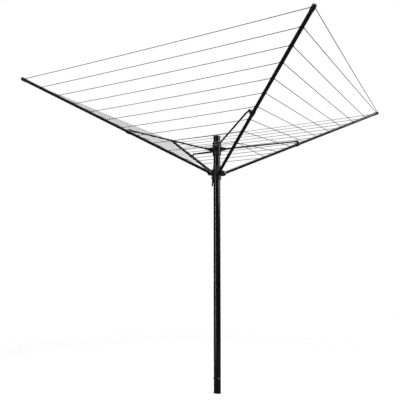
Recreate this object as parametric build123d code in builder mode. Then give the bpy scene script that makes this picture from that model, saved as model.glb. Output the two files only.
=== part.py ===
from build123d import *
from math import acos, atan2, cos, degrees, hypot, radians, sin, sqrt
import os

# Rotary clothesline: a mast with a fixed crown near its top, a runner that slides on the mast
# and carries four arms, four struts from the crown to the arms, and one long line wound in a
# square spiral through the holes of the arms. Millimetres and degrees. The origin is the
# centre of the mast's foot, +Z up the mast, and the open arms lie along -Y, +X, +Y and -X.

# ------------------------------------------------------------------ driving dimensions
mast_r = 25.0
mast_wall = 1.2
mast_top = 1820.0
foot_r = 24.8            # the foot is drawn a little smaller, to slip into a ground socket
foot_flange = 6.0
stop_z = 100.0           # height of the stop pin above the foot

crown_low = 1676.0
crown_high = 1774.0
crown_r = 30.5
runner_low = 1495.0
runner_high = 1596.0
runner_r = 30.0
runner_bore_r = 25.4

arm_r = 11.0
arm_wall = 0.9
arm_length = 1457.0      # from the arm's pivot to its tip
arm_tilt = 23.2          # open arm above the horizontal
arm_pivot_r = 56.0       # from the mast's axis
arm_pivot_z = 1545.0
arm_pin_r = 3.0
running = 0.05           # radial clearance of a pin in its hole

strut_r = 6.0
strut_wall = 1.0
strut_side = 20.0        # the struts' flat ends stand beside the arms, so that both can fold flat
strut_set = 4.0          # the strut's tube stands further out than its flat ends
strut_pivot_r = 57.5
strut_pivot_z = 1722.5
bracket_at = 655.0       # along the arm, from its pivot
bracket_rise = 20.6      # strut pin above the arm's axis
strut_pin_r = 3.0
open_pivot_hole_r = 3.3

hole_count = 10
hole_pitch = 120.6
tip_to_hole = 20.0
line_r = 2.0
line_bend_r = 8.0

arm_azimuths = {"front": 0, "right": 90, "back": 180, "left": 270}
lever_azimuth = 225      # the lever hangs between the left and the back arm

# ------------------------------------------------------------------ worked-out geometry
tilt = radians(arm_tilt)
ear_r = arm_pivot_r + bracket_at * cos(tilt) - bracket_rise * sin(tilt)
ear_z = arm_pivot_z + bracket_at * sin(tilt) + bracket_rise * cos(tilt)
strut_length = hypot(ear_r - strut_pivot_r, ear_z - strut_pivot_z)
strut_tilt = degrees(atan2(ear_z - strut_pivot_z, ear_r - strut_pivot_r))
folded_ear_r = arm_pivot_r - bracket_rise
folded_ear_z = strut_pivot_z - sqrt(strut_length**2 - (folded_ear_r - strut_pivot_r) ** 2)
runner_travel = arm_pivot_z - (folded_ear_z - bracket_at)
arm_fold = 90 - arm_tilt
strut_fold = strut_tilt + degrees(acos((folded_ear_r - strut_pivot_r) / strut_length))

parts = {}


def outward(azimuth):
    """Unit vector from the mast towards an arm, level: -Y at 0, +X at 90."""
    return Vector(sin(radians(azimuth)), -cos(radians(azimuth)), 0)


def side_plane(azimuth, side=0.0):
    """Upright plane through an arm: x outward, y up. Its normal points clockwise from above."""
    out = outward(azimuth)
    normal = out.cross(Vector(0, 0, 1))
    return Plane(origin=normal * side, x_dir=out, z_dir=normal)


def radial_plane(azimuth, distance, height):
    """Plane that faces away from the mast at a distance from its axis and a height."""
    out = outward(azimuth)
    return Plane(origin=out * distance + Vector(0, 0, height), x_dir=(0, 0, 1), z_dir=out)


def bar_plane(azimuth, pivot_r, pivot_z, rise):
    """Frame of an arm or strut at its pivot: x along it, z up from it."""
    out = outward(azimuth)
    along = out * cos(radians(rise)) + Vector(0, 0, sin(radians(rise)))
    up = out * -sin(radians(rise)) + Vector(0, 0, cos(radians(rise)))
    return Plane(origin=out * pivot_r + Vector(0, 0, pivot_z), x_dir=along, z_dir=up)


def arm_plane(azimuth):
    """Frame of an open arm at its pivot."""
    return bar_plane(azimuth, arm_pivot_r, arm_pivot_z, arm_tilt)


def strut_plane(azimuth):
    """Frame of an open strut at its crown pivot, beside the arm."""
    plane = bar_plane(azimuth, strut_pivot_r, strut_pivot_z, strut_tilt)
    return Plane(origin=plane.origin - plane.y_dir * strut_side, x_dir=plane.x_dir, z_dir=plane.z_dir)


def keep(label, piece):
    """Name a finished piece and write it out."""
    piece.label = label
    parts[label] = piece
    export_step(piece, f"parts/{label}.step")


def keep_on(label, plane, piece):
    """Place a piece made in its own frame on a plane, then name it and write it out."""
    with BuildPart(plane) as placed:
        add(piece)
    keep(label, placed.part)


os.makedirs("parts", exist_ok=True)

# ------------------------------------------------------------------ mast tube
foot_stretch_top = 94.0
cap_flange = 8.0
stop_hole_r = 3.05
foot_rivet_r = 2.0
crown_screw_z = 1760.0
crown_screw_r = 2.4
crown_screw_azimuths = (315, 135)

with BuildPart() as mast_tube:
    with BuildSketch(Plane.XZ) as mast_wall_section:
        with BuildLine():
            Polyline(
                (mast_r - mast_wall, foot_flange),
                (foot_r, foot_flange),
                (foot_r, foot_stretch_top),
                (mast_r, foot_stretch_top + 1),
                (mast_r, mast_top - cap_flange),
                (mast_r - mast_wall, mast_top - cap_flange),
                close=True,
            )
        make_face()
    revolve(axis=Axis.Z)
    with BuildSketch(radial_plane(270, 0, stop_z)):
        Circle(stop_hole_r)
    extrude(amount=mast_r + 5, mode=Mode.SUBTRACT)
    with BuildSketch(radial_plane(0, 0, stop_z)):
        Circle(foot_rivet_r + running)
    extrude(amount=mast_r + 5, mode=Mode.SUBTRACT)
    for azimuth in crown_screw_azimuths:
        with BuildSketch(radial_plane(azimuth, 0, crown_screw_z)):
            Circle(crown_screw_r)
        extrude(amount=mast_r + 5, mode=Mode.SUBTRACT)
keep("mast_tube", mast_tube.part)

# ------------------------------------------------------------------ mast end pieces
plug_r = mast_r - mast_wall - 0.1
plug_wall = 4.0
cap_stem = 30.0
cap_r = 26.4
foot_stem_top = 114.0

with BuildPart() as mast_top_cap:
    with BuildSketch(Plane.XY.offset(mast_top - cap_flange - cap_stem)):
        Circle(plug_r)
        Circle(plug_r - plug_wall, mode=Mode.SUBTRACT)
    extrude(amount=cap_stem)
    with BuildSketch(Plane.XY.offset(mast_top - cap_flange)):
        Circle(cap_r)
    extrude(amount=cap_flange)
    fillet(mast_top_cap.edges().group_by(Axis.Z)[-1], 3.0)
keep("mast_top_cap", mast_top_cap.part)

with BuildPart() as mast_foot_plug:
    with BuildSketch(Plane.XY):
        Circle(foot_r)
    extrude(amount=foot_flange)
    fillet(mast_foot_plug.edges().group_by(Axis.Z)[0], 4.0)
    with BuildSketch(Plane.XY.offset(foot_flange)):
        Circle(plug_r)
    extrude(amount=foot_stem_top - foot_flange)
    with BuildSketch(Plane.XY.offset(foot_flange + plug_wall)):
        Circle(plug_r - plug_wall)
    extrude(amount=foot_stem_top, mode=Mode.SUBTRACT)
    with BuildSketch(radial_plane(270, 0, stop_z)):
        Circle(stop_hole_r)
    extrude(amount=mast_r, mode=Mode.SUBTRACT)
    with BuildSketch(radial_plane(0, 0, stop_z)):
        Circle(foot_rivet_r + running)
    extrude(amount=mast_r, mode=Mode.SUBTRACT)
keep("mast_foot_plug", mast_foot_plug.part)

# ------------------------------------------------------------------ stop pin and rivet of the foot
stop_tip = 33.0
pin_inner_r = plug_r - plug_wall + 0.5   # where the pin and rivet end inside the plug's wall
rivet_head_r = 4.4
rivet_head = 1.8
rivet_edge = 1.4

with BuildPart() as foot_stop_pin:
    with BuildSketch(radial_plane(270, pin_inner_r, stop_z)):
        Circle(stop_hole_r - running)
    extrude(amount=stop_tip - pin_inner_r)
    fillet(foot_stop_pin.edges().group_by(Axis.X)[0], 1.2)
keep("foot_stop_pin", foot_stop_pin.part)

with BuildPart() as foot_rivet:
    with BuildSketch(radial_plane(0, pin_inner_r, stop_z)):
        Circle(foot_rivet_r)
    extrude(amount=mast_r - pin_inner_r)
    with BuildSketch(radial_plane(0, mast_r, stop_z)):
        Circle(rivet_head_r)
    extrude(amount=rivet_head)
    fillet(foot_rivet.edges().group_by(Axis.Y)[0], rivet_edge)
keep("foot_rivet", foot_rivet.part)

# ------------------------------------------------------------------ crown: fixed upper hub
strut_plate = 4.0        # thickness of a strut's flattened end
fork_gap = 0.3
cheek = 3.2
lug_r = 9.5
crown_lug_root = 22.0
crown_web_r = 36.0       # how far out the web between a fork's cheeks reaches
crown_web_low, crown_web_high = 20.0, 15.0
fork_inner = strut_side - strut_plate / 2 - fork_gap
fork_outer = strut_side + strut_plate / 2 + fork_gap

with BuildPart() as upper_hub:
    with BuildSketch(Plane.XY.offset(crown_low)):
        Circle(crown_r)
    extrude(amount=crown_high - crown_low)
    chamfer(upper_hub.edges().group_by(Axis.Z)[-1], 2.0)
    chamfer(upper_hub.edges().group_by(Axis.Z)[0], 1.5)
    for azimuth in arm_azimuths.values():
        for side in (fork_inner - cheek, fork_outer):
            with BuildSketch(side_plane(azimuth, side)):
                with Locations((strut_pivot_r, strut_pivot_z)):
                    Circle(lug_r)
                with BuildLine():
                    Polyline(
                        (crown_lug_root, strut_pivot_z - crown_web_low),
                        (strut_pivot_r, strut_pivot_z - lug_r),
                        (strut_pivot_r, strut_pivot_z + lug_r),
                        (crown_lug_root, strut_pivot_z + crown_web_high),
                        close=True,
                    )
                make_face()
            extrude(amount=cheek)
        with BuildSketch(side_plane(azimuth, fork_inner)):
            with BuildLine():
                Polyline(
                    (crown_lug_root, strut_pivot_z - crown_web_low),
                    (crown_web_r, strut_pivot_z - crown_web_low + 4),
                    (crown_web_r, strut_pivot_z + crown_web_high - 3),
                    (crown_lug_root, strut_pivot_z + crown_web_high),
                    close=True,
                )
            make_face()
        extrude(amount=fork_outer - fork_inner)
        with BuildSketch(side_plane(azimuth, fork_inner - cheek)):
            with Locations((strut_pivot_r, strut_pivot_z)):
                Circle(strut_pin_r + running)
        extrude(amount=fork_outer - fork_inner + 2 * cheek, mode=Mode.SUBTRACT)
    with BuildSketch(Plane.XY.offset(crown_low)):
        Circle(mast_r + running)
    extrude(amount=crown_high - crown_low, mode=Mode.SUBTRACT)
    for azimuth in crown_screw_azimuths:
        with BuildSketch(radial_plane(azimuth, 0, crown_screw_z)):
            Circle(crown_screw_r + running)
        extrude(amount=crown_r + 5, mode=Mode.SUBTRACT)
keep("upper_hub", upper_hub.part)

# ------------------------------------------------------------------ screws that fix the crown
screw_head_r = 4.6
screw_head = 2.6
cross_long, cross_wide, cross_deep = 5.2, 1.1, 1.2

with BuildPart() as upper_hub_screws:
    for azimuth in crown_screw_azimuths:
        with BuildSketch(radial_plane(azimuth, mast_r - 3, crown_screw_z)):
            Circle(crown_screw_r - running)
        extrude(amount=crown_r - mast_r + 3.5)
        with BuildSketch(radial_plane(azimuth, crown_r, crown_screw_z)):
            Circle(screw_head_r)
        extrude(amount=screw_head)
        with BuildSketch(radial_plane(azimuth, crown_r + screw_head, crown_screw_z)):
            Rectangle(cross_long, cross_wide)
            Rectangle(cross_wide, cross_long)
        extrude(amount=-cross_deep, mode=Mode.SUBTRACT)
keep("upper_hub_screws", upper_hub_screws.part)


# ------------------------------------------------------------------ pins with two heads
def headed_pin(planes, pin_radius, start, end, head_radius, start_head, end_head):
    """Pins along the normals of planes, from start to end, with a head outside each end."""
    with BuildPart() as pins:
        for plane in planes:
            with BuildSketch(plane.offset(start)):
                Circle(pin_radius)
            extrude(amount=end - start)
            with BuildSketch(plane.offset(start - start_head)):
                Circle(head_radius)
            extrude(amount=start_head)
            with BuildSketch(plane.offset(end)):
                Circle(head_radius)
            extrude(amount=end_head)
    return pins.part


def pivot_planes(azimuths, pivot_r, pivot_z):
    """Planes centred on pivots at one radius and height, normals along the pivot axes."""
    planes = []
    for azimuth in azimuths:
        plane = side_plane(azimuth)
        centre = outward(azimuth) * pivot_r + Vector(0, 0, pivot_z)
        planes.append(Plane(origin=centre, x_dir=plane.x_dir, z_dir=plane.z_dir))
    return planes


pin_head_r = 5.2
formed_head = 2.0        # a pin's own head, and the flatter one peened on its other end
peened_head = 1.2
arm_pin_head_r = 5.6
arm_pin_head = 2.2
lever_pin_head_r = 4.0
keep(
    "strut_pivot_pins",
    headed_pin(
        pivot_planes(arm_azimuths.values(), strut_pivot_r, strut_pivot_z),
        strut_pin_r,
        fork_inner - cheek,
        fork_outer + cheek,
        pin_head_r,
        peened_head,
        formed_head,
    ),
)

# ------------------------------------------------------------------ runner: sliding lower hub
arm_fork_inner = 11.6
arm_cheek = 4.0
arm_lug_r = 13.5
runner_root = 24.0
runner_web_low, runner_web_high, runner_web = 22.0, 24.0, 8.0
rim_r = 32.0
rim_height = 8.0
collar_low = 1578.0
collar_r = 28.2
lever_pivot_r = 35.0
lever_pivot_z = 1511.0
lever_half = 7.0
lever_slot_half = 8.0
lever_cheek = 3.5
lever_pin_r = 2.5
lever_lug_r = 7.5
slot_top = 1523.0

with BuildPart() as runner_hub:
    with BuildSketch(Plane.XY.offset(runner_low)):
        Circle(rim_r)
    extrude(amount=rim_height)
    with BuildSketch(Plane.XY.offset(runner_low)):
        Circle(runner_r)
    extrude(amount=collar_low - runner_low)
    chamfer(runner_hub.edges().group_by(Axis.Z)[-1], 1.5)
    with BuildSketch(Plane.XY.offset(collar_low - 2)):
        Circle(collar_r)
    extrude(amount=runner_high - collar_low + 2)
    for azimuth in arm_azimuths.values():
        for side in (-arm_fork_inner - arm_cheek, arm_fork_inner):
            with BuildSketch(side_plane(azimuth, side)):
                with Locations((arm_pivot_r, arm_pivot_z)):
                    Circle(arm_lug_r)
                with BuildLine():
                    Polyline(
                        (runner_root, arm_pivot_z - runner_web_low),
                        (arm_pivot_r + 5, arm_pivot_z - runner_web_low + 3),
                        (arm_pivot_r + 11, arm_pivot_z - 8),
                        (arm_pivot_r, arm_pivot_z + arm_lug_r),
                        (runner_root, arm_pivot_z + runner_web_high),
                        close=True,
                    )
                make_face()
            extrude(amount=arm_cheek)
        with BuildSketch(side_plane(azimuth, -arm_fork_inner)):
            with BuildLine():
                Polyline(
                    (runner_root, arm_pivot_z - runner_web_low),
                    (arm_pivot_r + 5, arm_pivot_z - runner_web_low + 3),
                    (arm_pivot_r + 8, arm_pivot_z - runner_web_low + runner_web),
                    (runner_root, arm_pivot_z - runner_web_low + runner_web),
                    close=True,
                )
            make_face()
        extrude(amount=2 * arm_fork_inner)
        with BuildSketch(side_plane(azimuth, -arm_fork_inner - arm_cheek)):
            with Locations((arm_pivot_r, arm_pivot_z)):
                Circle(arm_pin_r + running)
        extrude(amount=2 * (arm_fork_inner + arm_cheek), mode=Mode.SUBTRACT)
    for side in (-lever_slot_half - lever_cheek, lever_slot_half):
        with BuildSketch(side_plane(lever_azimuth, side)):
            with Locations((lever_pivot_r, lever_pivot_z)):
                Circle(lever_lug_r)
            with Locations((lever_pivot_r - 5, lever_pivot_z)):
                Rectangle(10, 2 * lever_lug_r)
        extrude(amount=lever_cheek)
    with BuildSketch(side_plane(lever_azimuth, -lever_slot_half)):
        with Locations((lever_pivot_r, (slot_top + runner_low) / 2 - 5)):
            Rectangle(2 * (lever_pivot_r - mast_r), slot_top - runner_low + 10)
    extrude(amount=2 * lever_slot_half, mode=Mode.SUBTRACT)
    with BuildSketch(side_plane(lever_azimuth, -lever_slot_half - lever_cheek)):
        with Locations((lever_pivot_r, lever_pivot_z)):
            Circle(lever_pin_r + running)
    extrude(amount=2 * (lever_slot_half + lever_cheek), mode=Mode.SUBTRACT)
    with BuildSketch(Plane.XY.offset(runner_low)):
        Circle(runner_bore_r)
    extrude(amount=runner_high - runner_low, mode=Mode.SUBTRACT)
keep("runner_hub", runner_hub.part)

keep(
    "arm_pivot_pins",
    headed_pin(
        pivot_planes(arm_azimuths.values(), arm_pivot_r, arm_pivot_z),
        arm_pin_r,
        -arm_fork_inner - arm_cheek,
        arm_fork_inner + arm_cheek,
        arm_pin_head_r,
        arm_pin_head,
        arm_pin_head,
    ),
)
keep(
    "lever_pin",
    headed_pin(
        pivot_planes([lever_azimuth], lever_pivot_r, lever_pivot_z),
        lever_pin_r,
        -lever_slot_half - lever_cheek,
        lever_slot_half + lever_cheek,
        lever_pin_head_r,
        peened_head,
        peened_head,
    ),
)

# ------------------------------------------------------------------ lock lever and its brake pad
cam_r = 9.4              # reaches to 0.6 mm from the mast when the lever hangs down
pad_r = 7.8

with BuildPart() as lock_lever:
    with BuildSketch(side_plane(lever_azimuth, -lever_half)):
        with Locations((lever_pivot_r, lever_pivot_z)):
            Circle(pad_r)
        with BuildLine():
            Polyline(
                (lever_pivot_r - 4.5, lever_pivot_z - 2),
                (lever_pivot_r - 4.2, lever_pivot_z - 34),
                (lever_pivot_r + 1.5, lever_pivot_z - 64),
                (lever_pivot_r + 6.0, lever_pivot_z - 63),
                (lever_pivot_r + 2.0, lever_pivot_z - 34),
                (lever_pivot_r + 4.5, lever_pivot_z - 2),
                close=True,
            )
        make_face()
        with Locations((lever_pivot_r, lever_pivot_z)):
            Circle(lever_pin_r + running, mode=Mode.SUBTRACT)
    extrude(amount=2 * lever_half)
keep("lock_lever", lock_lever.part)

with BuildPart() as lever_brake_pad:
    with BuildSketch(side_plane(lever_azimuth, -lever_half + 0.5)):
        with Locations((lever_pivot_r, lever_pivot_z)):
            Circle(cam_r)
            Circle(pad_r, mode=Mode.SUBTRACT)
        with Locations((lever_pivot_r - cam_r, lever_pivot_z)):
            Rectangle(10, 9, mode=Mode.INTERSECT)
    extrude(amount=2 * lever_half - 1)
keep("lever_brake_pad", lever_brake_pad.part)

# ------------------------------------------------------------------ pieces of one arm, in its own frame
root_start = 14.0        # where the tube begins
root_stem = 36.0
cap_skirt = 38.0
cap_outer_r = 12.6
cap_end = 5.0
bore_fit = 0.03
eyelet_barrel_r = 3.7
eyelet_bore_r = 2.8
eyelet_flange_r = 5.4
eyelet_flange = 1.4
eyelet_mouth = 2.4
cap_mouth = 3.6
hole_places = [arm_length - tip_to_hole - hole_pitch * number for number in range(hole_count)]

with BuildPart() as arm_tube_shape:
    with BuildSketch(Plane.YZ.offset(root_start)):
        Circle(arm_r)
        Circle(arm_r - arm_wall, mode=Mode.SUBTRACT)
    extrude(amount=arm_length - cap_end - root_start)
    with BuildSketch(Plane.XZ.offset(-2 * arm_r)):
        with Locations(*[(place, 0) for place in hole_places]):
            Circle(eyelet_barrel_r + running)
    extrude(amount=4 * arm_r, mode=Mode.SUBTRACT)
    with BuildSketch(Plane.XY.offset(-2 * arm_r)):
        with Locations((bracket_at, 0)):
            Circle(foot_rivet_r + running)
    extrude(amount=2 * arm_r, mode=Mode.SUBTRACT)

with BuildPart() as arm_root_shape:
    with BuildSketch(Plane.XZ.offset(-arm_r - 0.2)):
        Circle(arm_r)
        with Locations((root_start / 2, 0)):
            Rectangle(root_start, 2 * arm_r)
    extrude(amount=2 * arm_r + 0.4)
    with BuildSketch(Plane.YZ.offset(root_start)):
        Circle(arm_r - arm_wall - 0.1)
    extrude(amount=root_stem)
    with BuildSketch(Plane.XZ.offset(-2 * arm_r)):
        Circle(arm_pin_r + running)
    extrude(amount=4 * arm_r, mode=Mode.SUBTRACT)

with BuildPart() as arm_cap_shape:
    with BuildSketch(Plane.YZ.offset(arm_length - cap_skirt)):
        Circle(cap_outer_r)
    extrude(amount=cap_skirt)
    fillet(arm_cap_shape.edges().group_by(Axis.X)[-1], 8.0)
    with BuildSketch(Plane.YZ.offset(arm_length - cap_skirt)):
        Circle(arm_r + bore_fit)
    extrude(amount=cap_skirt - cap_end, mode=Mode.SUBTRACT)
    with BuildSketch(Plane.XZ.offset(-2 * arm_r)):
        with Locations((hole_places[0], 0)):
            Circle(eyelet_bore_r)
    extrude(amount=4 * arm_r, mode=Mode.SUBTRACT)
    for hand in (1, -1):
        with Locations(Location((hole_places[0], hand * cap_outer_r, 0), (hand * -90, 0, 0))):
            Cone(eyelet_bore_r, eyelet_bore_r + cap_mouth, 2 * cap_mouth, mode=Mode.SUBTRACT)

with BuildPart() as eyelets_shape:
    for hand in (1, -1):
        for place in hole_places[1:]:
            with Locations(Location((place, hand * (arm_r + eyelet_flange / 2 - 1), 0), (90, 0, 0))):
                Cylinder(eyelet_flange_r, eyelet_flange + 2)
    with BuildSketch(Plane.YZ):
        Circle(arm_r + 0.02)
    extrude(amount=arm_length, mode=Mode.SUBTRACT)
    for hand in (1, -1):
        for place in hole_places[1:]:
            with Locations(Location((place, hand * (arm_r - 1), 0), (90, 0, 0))):
                Cylinder(eyelet_barrel_r, 4)
            with Locations(Location((place, hand * arm_r, 0), (90, 0, 0))):
                Cylinder(eyelet_bore_r, 12, mode=Mode.SUBTRACT)
            with Locations(Location((place, hand * (arm_r + 0.4), 0), (hand * -90, 0, 0))):
                Cone(eyelet_bore_r, eyelet_bore_r + eyelet_mouth, eyelet_mouth, mode=Mode.SUBTRACT)

# ------------------------------------------------------------------ strut bracket on the arm
bracket_length = 34.0
bracket_r = 13.8
ear_lug_r = 8.0
ear_half = 12.0
ear_floor = 12.6
ear_root = 6.0

with BuildPart() as bracket_shape:
    with BuildSketch(Plane.YZ.offset(bracket_at - bracket_length / 2)):
        Circle(bracket_r)
    extrude(amount=bracket_length)
    with BuildSketch(Plane.XZ.offset(ear_root)):
        with Locations((bracket_at, ear_floor / 2)):
            Rectangle(2 * ear_half, ear_floor)
    extrude(amount=fork_inner - ear_root)
    with BuildSketch(Plane.XZ.offset(fork_inner - cheek)):
        with Locations((bracket_at, bracket_rise)):
            Circle(ear_lug_r)
        with BuildLine():
            Polyline(
                (bracket_at - ear_half, 2),
                (bracket_at + ear_half, 2),
                (bracket_at + ear_lug_r, bracket_rise),
                (bracket_at - ear_lug_r, bracket_rise),
                close=True,
            )
        make_face()
    extrude(amount=cheek)
    with BuildSketch(Plane.XZ.offset(fork_inner - cheek)):
        with Locations((bracket_at, bracket_rise)):
            Circle(open_pivot_hole_r)
    extrude(amount=cheek, mode=Mode.SUBTRACT)
    with BuildSketch(Plane.YZ.offset(bracket_at - bracket_length / 2)):
        Circle(arm_r + bore_fit)
    extrude(amount=bracket_length, mode=Mode.SUBTRACT)
    with BuildSketch(Plane.XY.offset(-2 * arm_r)):
        with Locations((bracket_at, 0)):
            Circle(foot_rivet_r + running)
    extrude(amount=2 * arm_r, mode=Mode.SUBTRACT)

with BuildPart() as bracket_rivet_shape:
    with BuildSketch(Plane.XY.offset(-bracket_r - rivet_head)):
        with Locations((bracket_at, 0)):
            Circle(rivet_head_r)
    extrude(amount=rivet_head)
    fillet(bracket_rivet_shape.edges().group_by(Axis.Z)[0], rivet_edge)
    with BuildSketch(Plane.XY.offset(-bracket_r)):
        with Locations((bracket_at, 0)):
            Circle(foot_rivet_r)
    extrude(amount=bracket_r - arm_r + arm_wall + 1.5)

# ------------------------------------------------------------------ strut, in its own frame
flat_width = 14.0
flat_end = 20.0
flare_end = 36.0
tube_plane = Plane(origin=(0, -strut_set, 0), x_dir=(0, 1, 0), z_dir=(1, 0, 0))

with BuildPart() as strut_shape:
    for start, direction in ((0, 1), (strut_length, -1)):
        with BuildSketch(Plane.XZ.offset(-strut_plate / 2)):
            with Locations((start, 0)):
                Circle(flat_width / 2)
            with Locations((start + direction * flat_end / 2, 0)):
                Rectangle(flat_end, flat_width)
        extrude(amount=strut_plate)
        with BuildSketch(Plane.YZ.offset(start + direction * flat_end)):
            RectangleRounded(strut_plate, flat_width, 1.9)
        with BuildSketch(tube_plane.offset(start + direction * flare_end)):
            Circle(strut_r)
        loft()
        with BuildSketch(Plane.XZ.offset(-strut_plate)):
            with Locations((start, 0)):
                Circle(strut_pin_r + running)
        extrude(amount=2 * strut_plate, mode=Mode.SUBTRACT)
    with BuildSketch(tube_plane.offset(flare_end)):
        Circle(strut_r)
    extrude(amount=strut_length - 2 * flare_end)
    with BuildSketch(tube_plane.offset(flare_end)):
        Circle(strut_r - strut_wall)
    extrude(amount=strut_length - 2 * flare_end, mode=Mode.SUBTRACT)

# The pin that joins the strut to the arm's bracket, held by the strut.
ear_clear = 0.3
bracket_pin_shape = headed_pin(
    [Plane(origin=(strut_length, strut_side, 0), x_dir=(1, 0, 0), z_dir=(0, -1, 0))],
    strut_pin_r,
    fork_inner - cheek - ear_clear,
    strut_side + strut_plate / 2,
    pin_head_r,
    peened_head,
    formed_head,
)

# ------------------------------------------------------------------ four arms and four struts
for name, azimuth in arm_azimuths.items():
    keep_on(f"arm_tube_{name}", arm_plane(azimuth), arm_tube_shape.part)
    keep_on(f"arm_root_plug_{name}", arm_plane(azimuth), arm_root_shape.part)
    keep_on(f"arm_end_cap_{name}", arm_plane(azimuth), arm_cap_shape.part)
    keep_on(f"line_eyelets_{name}", arm_plane(azimuth), eyelets_shape.part)
    keep_on(f"strut_bracket_{name}", arm_plane(azimuth), bracket_shape.part)
    keep_on(f"bracket_rivet_{name}", arm_plane(azimuth), bracket_rivet_shape.part)
    keep_on(f"bracket_pin_{name}", strut_plane(azimuth), bracket_pin_shape)
    keep_on(f"strut_{name}", strut_plane(azimuth), strut_shape.part)

# ------------------------------------------------------------------ the clothes line
# One line, tied at the right arm's first hole, then round front, left, back and right, one
# hole further in at each return to the front arm, and tied where it comes back to the front
# arm's last hole. Each arm carries its own half of every span, out to the middle of the span.
ring = ["front", "right", "back", "left"]


def hole_mouth(name, number, hand):
    """Where the line leaves a hole: hand is +1 on the anticlockwise side of the arm."""
    plane = arm_plane(arm_azimuths[name])
    return plane.from_local_coords(Vector(hole_places[number], hand * arm_r, 0))


# The two tied ends: the hole, the side it leaves on, and which way along the arm the knot sits.
tied_ends = {"right": (0, -1, 1), "front": (hole_count - 1, 1, -1)}
knot_offset = 5.0
knot_r = 3.4


def knot_point(name):
    """Middle of the knot that ties the line at this arm."""
    number, hand, along = tied_ends[name]
    place = Vector(hole_places[number] + along * knot_offset, hand * (arm_r + knot_offset), 0)
    return arm_plane(arm_azimuths[name]).from_local_coords(place)


def far_end(name, number, hand):
    """Other end of the span that leaves a hole: the mouth of the next arm's hole, or a knot."""
    if (name, number, hand) == ("front", 0, 1):
        return knot_point("right")
    if (name, number, hand) == ("right", hole_count - 1, -1):
        return knot_point("front")
    if name == "front" and hand > 0:
        number -= 1
    if name == "right" and hand < 0:
        number += 1
    return hole_mouth(ring[(ring.index(name) + hand) % len(ring)], number, -hand)


line_length = 0.0
for name in ring:
    with BuildPart() as line:
        for number in range(hole_count):
            mouths = [hole_mouth(name, number, hand) for hand in (-1, 1)]
            middles = [(mouths[i] + far_end(name, number, hand)) * 0.5 for i, hand in enumerate((-1, 1))]
            with BuildLine() as route:
                FilletPolyline(middles[0], mouths[0], mouths[1], middles[1], radius=line_bend_r)
            path = route.wires()[0]
            line_length += path.length
            with BuildSketch(Plane(origin=path @ 0, z_dir=path % 0)):
                Circle(line_r)
            sweep(path=path)
        if name in tied_ends:
            other = "front" if name == "right" else "right"
            other_number, other_hand, _ = tied_ends[name]
            knot = knot_point(name)
            tail = (hole_mouth(other, other_number, -other_hand) - knot) * 0.5
            line_length += tail.length
            with BuildSketch(Plane(origin=knot, z_dir=tail)):
                Circle(line_r)
            extrude(amount=tail.length)
            with Locations(knot):
                Sphere(knot_r)
    keep(f"line_{name}", line.part)

print(f"strut {strut_length:.3f} mm, open at {strut_tilt:.4f} degrees")
print(f"runner travel {runner_travel:.4f} mm, arm fold {arm_fold:.4f}, strut fold {strut_fold:.4f} degrees")
print(f"line length {line_length / 1000:.2f} m, line bend radius {line_bend_r} mm")
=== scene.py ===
"""Looks of the rotary clothesline: its line, moulded details and finishes, round the CAD frame."""

import math

import bpy
import numpy as np
from mathutils import Matrix, Vector


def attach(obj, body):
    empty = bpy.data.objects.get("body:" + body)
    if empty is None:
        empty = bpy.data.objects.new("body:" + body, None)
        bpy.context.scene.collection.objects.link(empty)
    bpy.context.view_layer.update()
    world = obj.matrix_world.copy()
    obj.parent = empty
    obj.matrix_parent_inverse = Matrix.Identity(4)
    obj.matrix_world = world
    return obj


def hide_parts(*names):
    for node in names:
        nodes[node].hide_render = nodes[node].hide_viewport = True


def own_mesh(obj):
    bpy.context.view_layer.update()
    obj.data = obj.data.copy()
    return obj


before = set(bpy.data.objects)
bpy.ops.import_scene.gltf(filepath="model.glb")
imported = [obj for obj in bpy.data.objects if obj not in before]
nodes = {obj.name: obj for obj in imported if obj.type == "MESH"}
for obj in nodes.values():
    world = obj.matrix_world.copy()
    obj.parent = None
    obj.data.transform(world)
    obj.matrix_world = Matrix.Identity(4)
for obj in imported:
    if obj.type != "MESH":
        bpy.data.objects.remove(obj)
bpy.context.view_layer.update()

# ------------------------------------------------------------------ sizes of the frame, in metres
MAST_TOP = 1.820
CROWN_LOW, CROWN_HIGH, CROWN_R = 1.676, 1.774, 0.0305
STRUT_PIVOT_R, STRUT_PIVOT_Z = 0.0575, 1.7225
RUNNER_RIM, RUNNER_BODY_TOP, RUNNER_R = 1.503, 1.578, 0.030
LEVER_AZIMUTH, LEVER_PIVOT_R, LEVER_PIVOT_Z = 225, 0.035, 1.511
ARM_R, ARM_LENGTH, ARM_TILT = 0.011, 1.457, 23.2
ARM_PIVOT_R, ARM_PIVOT_Z = 0.056, 1.545
CAP_R = 0.0126
HOLE_COUNT, HOLE_PITCH, TIP_TO_HOLE = 10, 0.1206, 0.020
LINE_R = 0.002
KNOT_OFFSET = 0.005
ARMS = {"front": 0, "right": 90, "back": 180, "left": 270}      # azimuths, anticlockwise from above
HAND_NAMES = {1: "ccw", -1: "cw"}


# ------------------------------------------------------------------ frames and meshes
def outward(azimuth):
    """Level unit vector from the mast: (sin a, -cos a, 0), which is -Y at 0 and +X at 90."""
    angle = math.radians(azimuth)
    return np.array([math.sin(angle), -math.cos(angle), 0.0])


def arm_frame(azimuth):
    """An open arm's pivot and its axes as rows: along it, sideways anticlockwise, and up from it."""
    out, rise = outward(azimuth), math.radians(ARM_TILT)
    along = out * math.cos(rise) + np.array([0, 0, math.sin(rise)])
    up = -out * math.sin(rise) + np.array([0, 0, math.cos(rise)])
    pivot = out * ARM_PIVOT_R + np.array([0, 0, ARM_PIVOT_Z])
    return pivot, np.stack([along, np.cross(up, along), up])


def in_row(azimuth, points):
    """Points given in an arm's own frame, put into the row frame: pivot + points x axes."""
    pivot, axes = arm_frame(azimuth)
    return pivot + np.asarray(points, float) @ axes


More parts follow.
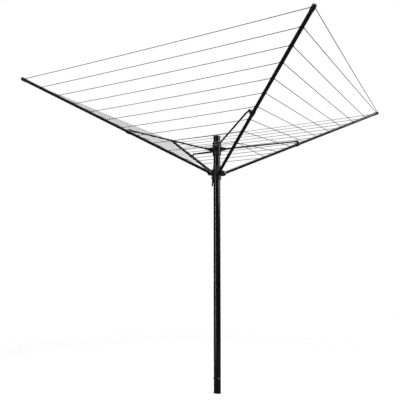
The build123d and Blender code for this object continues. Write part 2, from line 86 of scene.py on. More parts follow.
def piece_of(name, mesh, body, material):
    """A smooth-shaded object for a finished mesh, riding on a body and given its slot and material."""
    mesh.polygons.foreach_set("use_smooth", np.ones(len(mesh.polygons), bool))
    piece = bpy.data.objects.new(name, mesh)
    bpy.context.scene.collection.objects.link(piece)
    mesh.materials.append(material)
    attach(piece, body)
    return piece


def skin(name, rings, body, material):
    """A closed skin over rings of points, shape (ring, side, 3).

    Quads join each ring to the next, and a fan on the mean point of the first and last ring
    closes each end. The map runs once round in u, and in v by the distance between ring middles.
    """
    rings = np.asarray(rings, float)
    count, sides, _ = rings.shape
    index = np.arange(count * sides).reshape(count, sides)
    beside = np.roll(index, -1, axis=1)
    quads = np.stack([index[:-1], beside[:-1], beside[1:], index[1:]], -1).reshape(-1, 4)
    first, last = count * sides, count * sides + 1
    low = np.stack([np.full(sides, first), beside[0], index[0]], -1)
    high = np.stack([np.full(sides, last), index[-1], beside[-1]], -1)
    middles = rings.mean(axis=1)
    points = np.concatenate([rings.reshape(-1, 3), middles[[0, -1]]])
    mesh = bpy.data.meshes.new(name)
    mesh.from_pydata(points.tolist(), [], quads.tolist() + low.tolist() + high.tolist())

    u = np.broadcast_to(np.arange(sides) / sides, (count, sides))
    reach = np.concatenate([[0.0], np.cumsum(np.linalg.norm(np.diff(middles, axis=0), axis=1))])
    v = np.broadcast_to(reach[:, None], (count, sides))
    step = 1.0 / sides
    corners = np.stack([
        np.stack([u[:-1], v[:-1]], -1), np.stack([u[:-1] + step, v[:-1]], -1),
        np.stack([u[1:] + step, v[1:]], -1), np.stack([u[1:], v[1:]], -1),
    ], axis=2).reshape(-1, 2)
    ends = [np.repeat(np.array([[0.5, v[row, 0]]]), 3 * sides, axis=0) for row in (0, -1)]
    layer = mesh.uv_layers.new(name="UVMap")
    layer.data.foreach_set("uv", np.concatenate([corners, *ends]).astype(np.float32).ravel())

    triangles = np.concatenate([quads[:, [0, 1, 2]], quads[:, [0, 2, 3]], low, high])
    a, b, c = (points[triangles[:, i]] for i in range(3))
    if np.einsum("ij,ij->i", a, np.cross(b, c)).sum() < 0:
        mesh.flip_normals()
    return piece_of(name, mesh, body, material)


def carried(profile, path, up):
    """A profile carried along a path: ring i is path[i] + a*side[i] + b*lift[i] for (a, b) of profile.

    side is the unit vector across the path and up, and lift is square to the path and side.
    """
    run = np.gradient(path, axis=0)
    run /= np.linalg.norm(run, axis=1)[:, None]
    side = np.cross(run, np.broadcast_to(up, run.shape))
    side /= np.linalg.norm(side, axis=1)[:, None]
    lift = np.cross(side, run)
    profile = np.asarray(profile, float)
    if profile.ndim == 2:
        profile = np.broadcast_to(profile, (len(path), *profile.shape))
    return path[:, None] + profile[..., :1] * side[:, None] + profile[..., 1:] * lift[:, None]


def circle(radius, sides):
    """Points of a circle: radius * (cos a, sin a)."""
    angle = np.linspace(0, 2 * math.pi, sides, endpoint=False)
    return radius * np.stack([np.cos(angle), np.sin(angle)], -1)


def turned(profile, sides, origin=(0, 0, 0), axes=np.eye(3)):
    """A profile of (radius, height) turned once round the third axis: r cos a, r sin a, h."""
    ring = circle(1.0, sides)
    radius, height = (np.asarray(profile, float)[:, i] for i in range(2))
    local = np.stack([
        radius[:, None] * ring[:, 0], radius[:, None] * ring[:, 1],
        np.broadcast_to(height[:, None], (len(radius), sides)),
    ], -1)
    return np.asarray(origin, float) + local @ np.asarray(axes, float)


def band(name, ring_r, thick, wide, origin, axes, body, material, sides=64):
    """A raised band round an axis: a torus, whose section is (thick cos b, wide sin b) about ring_r."""
    around = 12
    turn = np.linspace(0, 2 * math.pi, sides, endpoint=False)[:, None]
    section = np.linspace(0, 2 * math.pi, around, endpoint=False)[None, :]
    radius = ring_r + thick * np.cos(section)
    height = np.broadcast_to(wide * np.sin(section), (sides, around))
    local = np.stack([radius * np.cos(turn), radius * np.sin(turn), height], -1)
    points = np.asarray(origin, float) + local @ np.asarray(axes, float)
    index = np.arange(sides * around).reshape(sides, around)
    after, beside = np.roll(index, -1, axis=0), np.roll(index, -1, axis=1)
    quads = np.stack([index, after, np.roll(after, -1, axis=1), beside], -1).reshape(-1, 4)
    mesh = bpy.data.meshes.new(name)
    mesh.from_pydata(points.reshape(-1, 3).tolist(), [], quads.tolist())
    return piece_of(name, mesh, body, material)


# ------------------------------------------------------------------ finishes
def put(tree, kind, inputs=(), **settings):
    """Adds a node, sets its properties, and gives its inputs values or other nodes' outputs."""
    made = tree.nodes.new(kind)
    for name, value in settings.items():
        setattr(made, name, value)
    for name, value in dict(inputs).items():
        if isinstance(value, bpy.types.NodeSocket):
            tree.links.new(value, made.inputs[name])
        else:
            made.inputs[name].default_value = value
    return made


def worked(tree, operation, first, second=0.0):
    """The output of a Math node: operation of first and second."""
    return put(tree, "ShaderNodeMath", {0: first, 1: second}, operation=operation).outputs[0]


def spread_over(tree, value, low, high, to_low=0.0, to_high=1.0):
    """The output of a Map Range node: low to high is stretched to to_low to to_high."""
    return put(tree, "ShaderNodeMapRange", {
        "Value": value, "From Min": low, "From Max": high, "To Min": to_low, "To Max": to_high,
    }).outputs["Result"]


def mixed_colour(tree, share, first, second):
    """The output of a colour Mix node: first where share is 0, second where it is 1."""
    return put(tree, "ShaderNodeMix", {"Factor": share, 6: first, 7: second}, data_type="RGBA").outputs[2]


def noise(tree, place, per_metre, detail):
    """The value of a Noise Texture on a place."""
    return put(tree, "ShaderNodeTexNoise", {
        "Vector": place, "Scale": per_metre, "Detail": detail,
    }).outputs["Fac"]


def effect(name, wanted, given):
    """An empty shader node group with named inputs and outputs. Returns it and its two end nodes."""
    group = bpy.data.node_groups.new(name, "ShaderNodeTree")
    for label, (kind, value) in wanted.items():
        socket = group.interface.new_socket(label, in_out="INPUT", socket_type=f"NodeSocket{kind}")
        if value is not None:
            socket.default_value = value
    for label, kind in given.items():
        group.interface.new_socket(label, in_out="OUTPUT", socket_type=f"NodeSocket{kind}")
    return group, group.nodes.new("NodeGroupInput").outputs, group.nodes.new("NodeGroupOutput")


def peel_effect():
    """Height of a sprayed coat: coarse orange peel plus fine pimples, both from noise."""
    group, given, end = effect(
        "sprayed peel",
        {"Place": ("Vector", None), "Per Metre": ("Float", 500.0), "Pimples": ("Float", 0.3)},
        {"Height": "Float"},
    )
    coarse = noise(group, given["Place"], given["Per Metre"], 2.0)
    finer = worked(group, "MULTIPLY", given["Per Metre"], 4.5)
    fine = noise(group, given["Place"], finer, 1.0)
    small = worked(group, "MULTIPLY", fine, given["Pimples"])
    group.links.new(worked(group, "ADD", coarse, small), end.inputs["Height"])
    return group


def drift_effect():
    """Two tones mixed by broad noise, for weathered colour."""
    group, given, end = effect(
        "weathered tone",
        {
            "Place": ("Vector", None), "Per Metre": ("Float", 14.0),
            "Dark": ("Color", (0, 0, 0, 1)), "Light": ("Color", (1, 1, 1, 1)),
        },
        {"Color": "Color", "Amount": "Float"},
    )
    broad = put(group, "ShaderNodeTexNoise", {
        "Vector": given["Place"], "Scale": given["Per Metre"], "Detail": 5.0, "Roughness": 0.6,
    })
    amount = spread_over(group, broad.outputs["Fac"], 0.36, 0.66)
    group.links.new(mixed_colour(group, amount, given["Dark"], given["Light"]), end.inputs["Color"])
    group.links.new(amount, end.inputs["Amount"])
    return group


def wear_effect():
    """Mask of rubbed edges: where a rounded normal leaves the real one, broken up by noise."""
    group, given, end = effect(
        "rubbed edges",
        {"Place": ("Vector", None), "Reach": ("Float", 0.0008), "Breaks": ("Float", 260.0)},
        {"Mask": "Float"},
    )
    rounded = put(group, "ShaderNodeBevel", {"Radius": given["Reach"]}, samples=4)
    surface = put(group, "ShaderNodeNewGeometry")
    match = put(group, "ShaderNodeVectorMath", {
        0: rounded.outputs[0], 1: surface.outputs["Normal"],
    }, operation="DOT_PRODUCT")
    edge = spread_over(group, match.outputs["Value"], 0.995, 0.88)
    gaps = spread_over(group, noise(group, given["Place"], given["Breaks"], 4.0), 0.45, 0.62)
    group.links.new(worked(group, "MULTIPLY", edge, gaps), end.inputs["Mask"])
    return group


def scratch_effect():
    """Mask of hairline rubs: the thin level lines of a stretched noise."""
    group, given, end = effect(
        "hairline rubs",
        {"Place": ("Vector", None), "Stretch": ("Vector", (300.0, 300.0, 6.0))},
        {"Mask": "Float"},
    )
    drawn = put(group, "ShaderNodeVectorMath", {
        0: given["Place"], 1: given["Stretch"],
    }, operation="MULTIPLY")
    off_level = worked(group, "SUBTRACT", noise(group, drawn.outputs[0], 1.0, 3.0), 0.5)
    group.links.new(spread_over(group, worked(group, "ABSOLUTE", off_level), 0.012, 0.0), end.inputs["Mask"])
    return group


PEEL, DRIFT, WEAR, RUBS = peel_effect(), drift_effect(), wear_effect(), scratch_effect()


def use(tree, group, **inputs):
    """Places an effect group. Names with _ for a space give its inputs."""
    named = {name.replace("_", " "): value for name, value in inputs.items()}
    return put(tree, "ShaderNodeGroup", named, node_tree=group)


def tone(value, warmth=0.0):
    """A near-grey colour: red and blue pulled apart by warmth."""
    return (value * (1 + warmth), value, value * (1 - warmth), 1.0)


def finish_of(name, dark, light, rough, peel, peel_depth, per_metre=14.0, edge=None, edge_tone=None,
              edge_rough=0.3, edge_metal=0.0, rub=0.0, stretch=(300.0, 300.0, 6.0), metal=0.0,
              specular=0.5, coat=0.0, coat_rough=0.2):
    """A finish: weathered tone, rubbed edges, hairline rubs, and a bumped, uneven gloss.

    rough is the (lowest, highest) roughness that the weathering runs between. peel is the bumps'
    frequency in a metre and peel_depth their height. edge is how far in from an edge the wear goes,
    and edge_tone, edge_rough and edge_metal are what shows there. rub is the rubs' strength.
    """
    material = bpy.data.materials.new(name)
    material.use_nodes = True
    tree = material.node_tree
    shader = tree.nodes["Principled BSDF"]
    place = put(tree, "ShaderNodeTexCoord").outputs["Object"]
    drift = use(tree, DRIFT, Place=place, Per_Metre=per_metre, Dark=dark, Light=light)
    height = use(tree, PEEL, Place=place, Per_Metre=peel)
    bump = put(tree, "ShaderNodeBump", {
        "Height": height.outputs["Height"], "Strength": 0.5, "Distance": peel_depth,
    })
    tree.links.new(bump.outputs["Normal"], shader.inputs["Normal"])
    gloss = spread_over(tree, drift.outputs["Amount"], 0.0, 1.0, *rough)
    color = drift.outputs["Color"]
    if rub:
        rubs = use(tree, RUBS, Place=place, Stretch=stretch)
        rubbed = tuple(min(1.0, 4 * channel + 0.02) for channel in light[:3]) + (1.0,)
        color = mixed_colour(tree, worked(tree, "MULTIPLY", rubs.outputs["Mask"], rub), color, rubbed)
    if edge:
        worn = use(tree, WEAR, Place=place, Reach=edge).outputs["Mask"]
        color = mixed_colour(tree, worn, color, edge_tone)
        gloss = put(tree, "ShaderNodeMix", {
            "Factor": worn, 2: gloss, 3: edge_rough,
        }, data_type="FLOAT").outputs[0]
        if edge_metal:
            tree.links.new(worked(tree, "MULTIPLY", worn, edge_metal), shader.inputs["Metallic"])
    tree.links.new(color, shader.inputs["Base Color"])
    tree.links.new(gloss, shader.inputs["Roughness"])
    if not edge_metal:
        shader.inputs["Metallic"].default_value = metal
    shader.inputs["Specular IOR Level"].default_value = specular
    shader.inputs["Coat Weight"].default_value = coat
    shader.inputs["Coat Roughness"].default_value = coat_rough
    return material


mast_paint = finish_of(
    "mast powder coat", tone(0.0025), tone(0.0070), (0.16, 0.26), 520.0, 0.00012, per_metre=9.0,
    edge=0.0007, edge_tone=tone(0.14), edge_metal=0.6, rub=0.10, specular=0.45,
)
arm_paint = finish_of(
    "arm powder coat", tone(0.0025), tone(0.0070), (0.24, 0.36), 560.0, 0.00011, per_metre=11.0,
    edge=0.0006, edge_tone=tone(0.13), edge_metal=0.6, rub=0.08, stretch=(220.0, 220.0, 30.0), specular=0.42,
)
strut_paint = finish_of(
    "strut powder coat", tone(0.0025), tone(0.0065), (0.26, 0.38), 620.0, 0.00010, per_metre=16.0,
    edge=0.0007, edge_tone=tone(0.16), edge_metal=0.7, rub=0.08, stretch=(220.0, 220.0, 30.0), specular=0.42,
)
hub_plastic = finish_of(
    "hub moulding", tone(0.0035), tone(0.0095), (0.36, 0.50), 900.0, 0.00014, per_metre=30.0,
    edge=0.0006, edge_tone=tone(0.055), edge_rough=0.34, rub=0.06, stretch=(120.0, 120.0, 120.0),
    specular=0.4,
)
cap_plastic = finish_of(
    "cap moulding", tone(0.0040), tone(0.0110), (0.32, 0.46), 1100.0, 0.00009, per_metre=40.0,
    edge=0.0005, edge_tone=tone(0.060), edge_rough=0.30, specular=0.45,
)
eyelet_plastic = finish_of(
    "eyelet moulding", tone(0.0045), tone(0.0100), (0.28, 0.42), 1500.0, 0.00005, per_metre=70.0,
    edge=0.0003, edge_tone=tone(0.045), edge_rough=0.28, specular=0.45,
)
plated_steel = finish_of(
    "zinc plate", tone(0.34, 0.015), tone(0.62, -0.01), (0.24, 0.42), 1400.0, 0.00004, per_metre=320.0,
    edge=0.0003, edge_tone=tone(0.78), edge_rough=0.2, rub=0.4, stretch=(900.0, 900.0, 900.0), metal=1.0,
)
black_steel = finish_of(
    "black oxide", tone(0.018), tone(0.050, 0.02), (0.26, 0.44), 1400.0, 0.00004, per_metre=320.0,
    edge=0.0004, edge_tone=tone(0.30), edge_rough=0.24, rub=0.25, stretch=(900.0, 900.0, 900.0), metal=1.0,
)
brake_rubber = finish_of(
    "brake rubber", tone(0.014), tone(0.034, 0.03), (0.62, 0.82), 1300.0, 0.00016, per_metre=120.0,
    edge=0.0004, edge_tone=tone(0.07), edge_rough=0.7, specular=0.3,
)


def line_finish():
    """The line's sheath: dark grey PVC with a faint lay round it, handling marks and drifting tone.

    The lay is sin(2 pi (strands u + turns v)) on the line's own map, with v in metres along it.
    """
    strands, turns_per_metre = 6.0, 110.0
    material = bpy.data.materials.new("line sheath")
    material.use_nodes = True
    tree = material.node_tree
    shader = tree.nodes["Principled BSDF"]
    own = put(tree, "ShaderNodeUVMap", uv_map="UVMap").outputs["UV"]
    place = put(tree, "ShaderNodeTexCoord").outputs["Object"]
    drift = use(tree, DRIFT, Place=place, Per_Metre=7.0, Dark=tone(0.022, 0.01), Light=tone(0.045, -0.01))
    slant = put(tree, "ShaderNodeVectorMath", {
        0: own, 1: (strands, turns_per_metre, 0.0),
    }, operation="DOT_PRODUCT")
    lay = worked(tree, "SINE", worked(tree, "MULTIPLY", slant.outputs["Value"], 2 * math.pi))
    specks = noise(tree, place, 900.0, 2.0)
    bump = put(tree, "ShaderNodeBump", {
        "Height": worked(tree, "ADD", lay, specks), "Strength": 0.35, "Distance": 0.00012,
    })
    marks = spread_over(tree, specks, 0.62, 0.72, 0.0, 0.5)
    color = mixed_colour(tree, marks, drift.outputs["Color"], tone(0.05, 0.05))
    gloss = spread_over(tree, drift.outputs["Amount"], 0.0, 1.0, 0.36, 0.5)
    tree.links.new(color, shader.inputs["Base Color"])
    tree.links.new(gloss, shader.inputs["Roughness"])
    tree.links.new(bump.outputs["Normal"], shader.inputs["Normal"])
    return material


line_cover = line_finish()

NODE_FINISHES = {
    "mast_tube": mast_paint, "mast_top_cap": cap_plastic, "mast_foot_plug": cap_plastic,
    "foot_stop_pin": plated_steel, "foot_rivet": plated_steel, "upper_hub": hub_plastic,
    "upper_hub_screws": black_steel, "strut_pivot_pins": black_steel, "runner_hub": hub_plastic,
    "arm_pivot_pins": plated_steel, "lever_pin": black_steel, "lock_lever": hub_plastic,
    "lever_brake_pad": brake_rubber,
}
for arm in ARMS:
    NODE_FINISHES.update({
        f"arm_tube_{arm}": arm_paint, f"arm_root_plug_{arm}": hub_plastic,
        f"arm_end_cap_{arm}": cap_plastic, f"line_eyelets_{arm}": eyelet_plastic,
        f"strut_bracket_{arm}": hub_plastic, f"bracket_rivet_{arm}": black_steel,
        f"strut_{arm}": strut_paint, f"bracket_pin_{arm}": black_steel,
    })
for name, material in NODE_FINISHES.items():
    nodes[name].data.materials.clear()
    nodes[name].data.materials.append(material)


# ------------------------------------------------------------------ the clothes line
SAG_SHARE = 0.0025        # how far a span's middle hangs, as a share of its length
SPAN_START = 0.003        # how far from a hole's mouth the bend has become the span
SPAN_RINGS, BEND_STEPS, LINE_SIDES = 9, 9, 10
hole_places = ARM_LENGTH - TIP_TO_HOLE - HOLE_PITCH * np.arange(HOLE_COUNT)


def mouth(number, hand):
    """Where the line leaves a hole, in the arm's frame."""
    return np.array([hole_places[number], hand * ARM_R, 0.0])


KNOTS = {
    "right": np.array([hole_places[0] + KNOT_OFFSET, -(ARM_R + KNOT_OFFSET), 0.0]),
    "front": np.array([hole_places[-1] - KNOT_OFFSET, ARM_R + KNOT_OFFSET, 0.0]),
}


def end_at(arm, number, hand):
    """One end of a span at a hole: (arm, number, hand, place in the arm's frame)."""
    return arm, number, hand, mouth(number, hand)


def spans():
    """Every span as its two ends. An end at a knot has None for its number."""
    last = HOLE_COUNT - 1
    found = []
    for near, far in (("front", "left"), ("left", "back"), ("back", "right")):
        found += [[end_at(near, k, -1), end_at(far, k, 1)] for k in range(HOLE_COUNT)]
    found += [[end_at("right", k, -1), end_at("front", k + 1, 1)] for k in range(last)]
    found.append([("right", None, -1, KNOTS["right"]), end_at("front", 0, 1)])
    found.append([("front", None, 1, KNOTS["front"]), end_at("right", last, -1)])
    return found


def hang(start, middle, shares):
    """Half a span in the row frame: start + s (middle - start) - sag (2 s - s^2) in z, for s = shares."""
    half = middle - start
    sag = 2 * np.linalg.norm(half) * SAG_SHARE
    shares = np.asarray(shares, float)[:, None]
    return start + shares * half - np.array([0, 0, sag]) * (2 * shares - shares**2)


line_ring = circle(LINE_R, LINE_SIDES)
leaving = {}              # where each end's bend is over, for the stretch through the arm
for ends in spans():
    starts = [in_row(ARMS[arm], point) for arm, _, _, point in ends]
    middle = (starts[0] + starts[1]) / 2
    for (arm, number, hand, point), start in zip(ends, starts):
        from_share = (SPAN_START if number is not None else 0.0) / np.linalg.norm(middle - start)
        path = hang(start, middle, np.linspace(from_share, 1.0, SPAN_RINGS))
        if number is not None:
            leaving[arm, number, hand] = path[0]
        place = f"{number + 1:02d}" if number is not None else "tail"
        rings = carried(line_ring, path, (0, 0, 1))
        piece = skin(f"line_{arm}_{HAND_NAMES[hand]}_{place}", rings, f"arm_{arm}", line_cover)
        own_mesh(piece)


def smooth_line(points, count):
    """A clamped quadratic B-spline with these control points, as count points for each of its runs.

    Each run is ((1-t)^2 a + 2 t (1-t) b + t^2 c), from the middle of one leg to that of the next.
    """
    points = np.asarray(points, float)
    joints = np.concatenate([points[:1], (points[1:-2] + points[2:-1]) / 2, points[-1:]])
    t = np.linspace(0, 1, count)[:, None]
    runs = [
        (1 - t) ** 2 * joints[i] + 2 * t * (1 - t) * points[i + 1] + t**2 * joints[i + 1]
        for i in range(len(points) - 2)
    ]
    return np.concatenate([run[(1 if i else 0):] for i, run in enumerate(runs)])


INNER_SHARE = 0.35        # the bend is over this far out from the tube's middle, as a share of its radius


def through_arm(arm):
    """The line's stretches through one arm's holes, with the bend at each mouth, as one mesh."""
    azimuth, stretches = ARMS[arm], []
    for number in range(HOLE_COUNT):
        points = []
        for hand in (-1, 1):
            corner = in_row(azimuth, mouth(number, hand))
            inner = in_row(azimuth, mouth(number, hand) * [1, INNER_SHARE, 1])
            run = [leaving[arm, number, hand], corner, inner]
            points += run if hand < 0 else run[::-1]
        stretches.append(carried(line_ring, smooth_line(points, BEND_STEPS), arm_frame(azimuth)[1][2]))
    return stretches


def joined(name, parts, body, material):
    """Several closed skins as one object."""
    pieces = [skin(f"{name}_{i}", rings, body, material) for i, rings in enumerate(parts)]
    with bpy.context.temp_override(active_object=pieces[0], selected_editable_objects=pieces):
        bpy.ops.object.join()
    pieces[0].name = name
    pieces[0].data.name = name
    return pieces[0]


for arm in ARMS:
    stretch = joined(f"line_through_{arm}", through_arm(arm), f"arm_{arm}", line_cover)
    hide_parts(f"line_{arm}")


KNOT_SCALE = 0.00085
KNOT_UP = (0.3, 0.2, 1.0)      # a direction that the knot's path never takes, to square its section by


def knot_path(count=72):
    """An overhand knot drawn tight: KNOT_SCALE (sin t + 2 sin 2t, cos t - 2 cos 2t, -1.5 sin 3t)."""
    t = np.linspace(0, 2 * math.pi, count, endpoint=False)
    return KNOT_SCALE * np.stack([
        np.sin(t) + 2 * np.sin(2 * t), np.cos(t) - 2 * np.cos(2 * t), -1.5 * np.sin(3 * t),
    ], -1)


for arm, place in KNOTS.items():
    path = knot_path()
    run = np.roll(path, -1, axis=0) - np.roll(path, 1, axis=0)
    run /= np.linalg.norm(run, axis=1)[:, None]
    side = np.cross(run, KNOT_UP)
    side /= np.linalg.norm(side, axis=1)[:, None]
    lift = np.cross(side, run)
    rings = path[:, None] + line_ring[:, :1] * side[:, None] + line_ring[:, 1:] * lift[:, None]
    rings = np.concatenate([rings, rings[:1]])
    skin(f"line_knot_{arm}", in_row(ARMS[arm], rings + place), f"arm_{arm}", line_cover)

# ------------------------------------------------------------------ moulded details of the hubs
UPRIGHT = np.eye(3)
RIB_SUNK = 0.0008         # how deep a rib's middle lies in its hub
RIB_AZIMUTHS = (45, 135, 225, 315)
CROWN_RIB_HALF_WIDE, CROWN_RIB_PROUD = 0.0022, 0.0028
RUNNER_RIB_HALF_WIDE, RUNNER_RIB_PROUD = 0.0020, 0.0024
CROWN_BAND_THICK = 0.0014


def rib(name, azimuth, radius, low, high, half_wide, proud, body):
    """An upright moulded rib: a rounded bar that rises out of a hub and sinks back at its ends.

    Its section is (half_wide cos b, proud sin b). Along its height h, proud swells as
    sin(pi h)^0.4 and half_wide as (1 + sin(pi h)^0.4) / 2.
    """
    heights = np.linspace(0, 1, 17)
    swell = np.sin(math.pi * np.clip(heights, 0.02, 0.98)) ** 0.4
    rise = low + (high - low) * heights
    path = outward(azimuth) * (radius - RIB_SUNK) + np.stack([0 * heights, 0 * heights, rise], -1)
    section = circle(1.0, 14) * [half_wide, 1.0]
    profile = np.broadcast_to(section, (len(heights), *section.shape)).copy()
    profile[..., 1] *= (proud * swell)[:, None]
    profile[..., 0] *= (0.5 + 0.5 * swell)[:, None]
    rings = carried(profile, path, outward(azimuth))
    return skin(name, rings, body, hub_plastic)


for azimuth in RIB_AZIMUTHS:
    for offset in (-16, 16):
        rib(f"crown_rib_{azimuth + offset:03d}", azimuth + offset, CROWN_R,
            CROWN_LOW + 0.006, CROWN_HIGH - 0.006, CROWN_RIB_HALF_WIDE, CROWN_RIB_PROUD, "mast")
for azimuth in RIB_AZIMUTHS:
    if azimuth == LEVER_AZIMUTH:
        continue
    for offset in (-15, 0, 15):
        rib(f"runner_rib_{azimuth + offset:03d}", azimuth + offset, RUNNER_R,
            RUNNER_RIM + 0.001, RUNNER_BODY_TOP - 0.003, RUNNER_RIB_HALF_WIDE, RUNNER_RIB_PROUD, "runner")

for name, half_wide, height in (
    ("crown_lower_band", 0.0030, CROWN_LOW + 0.006),
    ("crown_upper_band", 0.0024, CROWN_HIGH - 0.007),
):
    band(name, CROWN_R, CROWN_BAND_THICK, half_wide, (0, 0, height), UPRIGHT,
         "mast", hub_plastic)

MAST_CAP_RING_R = 0.0170
band("mast_cap_ring", MAST_CAP_RING_R, 0.0012, 0.0007, (0, 0, MAST_TOP - 0.0002), UPRIGHT,
     "mast", cap_plastic)

CAP_RING_BACKS = (0.0355, 0.0305)      # the rings of an arm's end cap, measured back from its tip
CAP_RING_THICK, CAP_RING_WIDE = 0.0007, 0.0011
for arm, azimuth in ARMS.items():
    along, aside, up = arm_frame(azimuth)[1]
    for index, back in enumerate(CAP_RING_BACKS):
        band(f"arm_cap_ring_{arm}_{index + 1}", CAP_R - 0.0002, CAP_RING_THICK, CAP_RING_WIDE,
             in_row(azimuth, [ARM_LENGTH - back, 0, 0]), (aside, up, along),
             f"arm_{arm}", cap_plastic, 40)

# ------------------------------------------------------------------ domed heads of the pivot pins
HEAD_SUNK = 0.0002        # how far a dome's rim lies in the face of its pin's head


def dome(azimuth, radius, height, side, hand, head_r, rise):
    """A low dome on a pin's head: r = head_r cos b, h = rise sin b - HEAD_SUNK, from rim to crown."""
    bend = np.linspace(0, 0.49 * math.pi, 9)
    profile = np.stack([head_r * np.cos(bend), rise * np.sin(bend) - HEAD_SUNK], -1)
    out = outward(azimuth)
    clockwise = np.cross(out, [0, 0, 1])
    centre = out * radius + np.array([0, 0, height]) + clockwise * side
    return turned(profile, 28, centre, np.stack([out, np.array([0, 0, 1.0]), hand * clockwise]))


ARM_HEAD_SIDE, ARM_HEAD_R, ARM_HEAD_RISE = 0.0178, 0.0054, 0.0011
STRUT_HEAD_SIDES = ((0.0133, -1), (0.0275, 1))      # how far aside each head is, and the way it faces
STRUT_HEAD_R, STRUT_HEAD_RISE = 0.0050, 0.0009
joined("arm_pin_domes", [
    dome(azimuth, ARM_PIVOT_R, ARM_PIVOT_Z, hand * ARM_HEAD_SIDE, hand, ARM_HEAD_R, ARM_HEAD_RISE)
    for azimuth in ARMS.values() for hand in (-1, 1)
], "runner", plated_steel)
joined("strut_pin_domes", [
    dome(azimuth, STRUT_PIVOT_R, STRUT_PIVOT_Z, side, hand, STRUT_HEAD_R, STRUT_HEAD_RISE)
    for azimuth in ARMS.values() for side, hand in STRUT_HEAD_SIDES
], "mast", black_steel)

# ------------------------------------------------------------------ grip of the lock lever
GRIP_TOP, GRIP_PITCH, GRIP_COUNT = 0.040, 0.0038, 6      # ridges, measured down from the pivot
GRIP_HALF_WIDE, GRIP_R = 0.0058, 0.0010
HANDLE_TOP, HANDLE_LEAN, HANDLE_SLOPE = 0.034, 0.0021, 0.004 / 0.029      # the handle's outer face
lever_out = outward(LEVER_AZIMUTH)
lever_side = np.cross(lever_out, [0, 0, 1])
across = np.linspace(-1, 1, 11)
plump = np.sqrt(np.clip(1 - across**4, 0.02, 1))          # a ridge thins as (1 - s^4)^(1/2) to its ends
for index in range(GRIP_COUNT):
    down = GRIP_TOP + GRIP_PITCH * index
    lean = HANDLE_LEAN + (down - HANDLE_TOP) * HANDLE_SLOPE
    centre = lever_out * (LEVER_PIVOT_R + lean) + np.array([0, 0, LEVER_PIVOT_Z - down])
    path = centre + np.outer(across * GRIP_HALF_WIDE, lever_side)
    rings = carried(circle(GRIP_R, 10) * plump[:, None, None], path, lever_out)
    skin(f"lever_grip_{index + 1}", rings, "lever", hub_plastic)

# ------------------------------------------------------------------ floor, light and camera
FLOOR_HALF, FLOOR_BELOW = 12.0, 0.0002
FADE_START, FADE_END = 0.8, 3.0        # distances from the mast between which the floor fades
floor_mesh = bpy.data.meshes.new("studio_floor")
floor_corners = np.array([(-1, -1, 0), (1, -1, 0), (1, 1, 0), (-1, 1, 0)]) * FLOOR_HALF - [0, 0, FLOOR_BELOW]
floor_mesh.from_pydata(floor_corners.tolist(), [], [(0, 1, 2, 3)])
floor = bpy.data.objects.new("studio_floor", floor_mesh)
bpy.context.scene.collection.objects.link(floor)


def floor_finish():
    """A pale floor that fades into the backdrop between two distances and throws little light back."""
    material = finish_of(
        "studio floor", tone(0.90), tone(0.94), (0.8, 0.9), 30.0, 0.0002, per_metre=0.7, specular=0.1,
    )
    tree = material.node_tree
    place = put(tree, "ShaderNodeTexCoord").outputs["Object"]
    away = put(tree, "ShaderNodeVectorMath", {0: place}, operation="LENGTH")
    fade = put(tree, "ShaderNodeMapRange", {
        "Value": away.outputs["Value"], "From Min": FADE_START, "From Max": FADE_END,
    }, interpolation_type="SMOOTHSTEP")
    seen = put(tree, "ShaderNodeLightPath").outputs["Is Camera Ray"]
    quiet = put(tree, "ShaderNodeBsdfDiffuse", {"Color": tone(0.12)})
    pale = put(tree, "ShaderNodeMixShader", {
        0: seen, 1: quiet.outputs[0], 2: tree.nodes["Principled BSDF"].outputs[0],
    })
    clear = put(tree, "ShaderNodeBsdfTransparent")
    mixed = put(tree, "ShaderNodeMixShader", {
        0: fade.outputs["Result"], 1: pale.outputs[0], 2: clear.outputs[0],
    })
    tree.links.new(mixed.outputs[0], tree.nodes["Material Output"].inputs["Surface"])
    return material


floor_mesh.materials.append(floor_finish())

world = bpy.data.worlds.new("studio")
world.use_nodes = True
sky = world.node_tree
SURROUND_STRENGTH = 0.05       # what surfaces see of the backdrop, which the camera sees white
dim = sky.nodes["Background"]
dim.inputs["Color"].default_value = (0.94, 0.96, 1.0, 1)
dim.inputs["Strength"].default_value = SURROUND_STRENGTH
bright = put(sky, "ShaderNodeBackground", {"Color": (1, 1, 1, 1), "Strength": 1.0})
seen = put(sky, "ShaderNodeLightPath").outputs["Is Camera Ray"]
backdrop = put(sky, "ShaderNodeMixShader", {0: seen, 1: dim.outputs[0], 2: bright.outputs[0]})
sky.links.new(backdrop.outputs[0], sky.nodes["World Output"].inputs["Surface"])
bpy.context.scene.world = world
bpy.context.scene.view_settings.view_transform = "Standard"

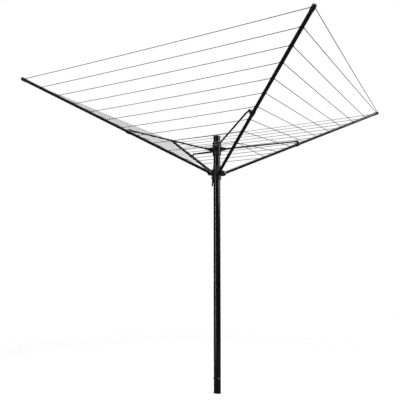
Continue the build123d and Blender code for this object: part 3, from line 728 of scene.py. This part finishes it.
CAMERA_PLACE = np.array([-1.1798, -3.3398, 0.91468])
CAMERA_HEADING = math.radians(14.671)       # clockwise from +Y, seen from above
CAMERA_TILT = math.radians(7.314)           # above the horizon
CAMERA_ROLL = 0.00872
SENSOR_WIDTH, CAMERA_LENS = 36.0, 44.033      # millimetres
CAMERA_SHIFT = (0.0592, -0.0087)


def softbox(name, place, target, width, height, power):
    """A soft rectangular lamp at place, facing target."""
    lamp = bpy.data.lights.new(name, "AREA")
    lamp.shape, lamp.size, lamp.size_y, lamp.energy = "RECTANGLE", width, height, power
    holder = bpy.data.objects.new(name, lamp)
    holder.location = place
    holder.rotation_mode = "QUATERNION"
    holder.rotation_quaternion = (Vector(place) - Vector(target)).to_track_quat("Z", "Y")
    holder.visible_camera = False
    bpy.context.scene.collection.objects.link(holder)


softbox("left_strip", (-3.72, -1.45, 1.1), target=(0, 0, 1.0), width=0.22, height=3.2, power=58)
softbox("right_soft", (3.46, -2.0, 2.7), target=(0, 0, 1.6), width=1.0, height=2.0, power=90)
softbox("overhead_soft", (0, 0, 4.5), target=(0, 0, 0), width=5.0, height=5.0, power=330)

level = np.array([math.sin(CAMERA_HEADING), math.cos(CAMERA_HEADING), 0.0])
look = level * math.cos(CAMERA_TILT) + np.array([0, 0, math.sin(CAMERA_TILT)])
right = np.cross(look, [0, 0, 1])
right /= np.linalg.norm(right)
lift = np.cross(right, look)
turn_right = right * math.cos(CAMERA_ROLL) + lift * math.sin(CAMERA_ROLL)
turn_up = lift * math.cos(CAMERA_ROLL) - right * math.sin(CAMERA_ROLL)
camera_data = bpy.data.cameras.new("studio_camera")
camera_data.sensor_width, camera_data.lens = SENSOR_WIDTH, CAMERA_LENS
camera_data.shift_x, camera_data.shift_y = CAMERA_SHIFT
camera = bpy.data.objects.new("studio_camera", camera_data)
bpy.context.scene.collection.objects.link(camera)
camera_axes = np.column_stack([turn_right, turn_up, -look, CAMERA_PLACE])
camera.matrix_world = Matrix([*camera_axes.tolist(), [0, 0, 0, 1]])
bpy.context.scene.camera = camera
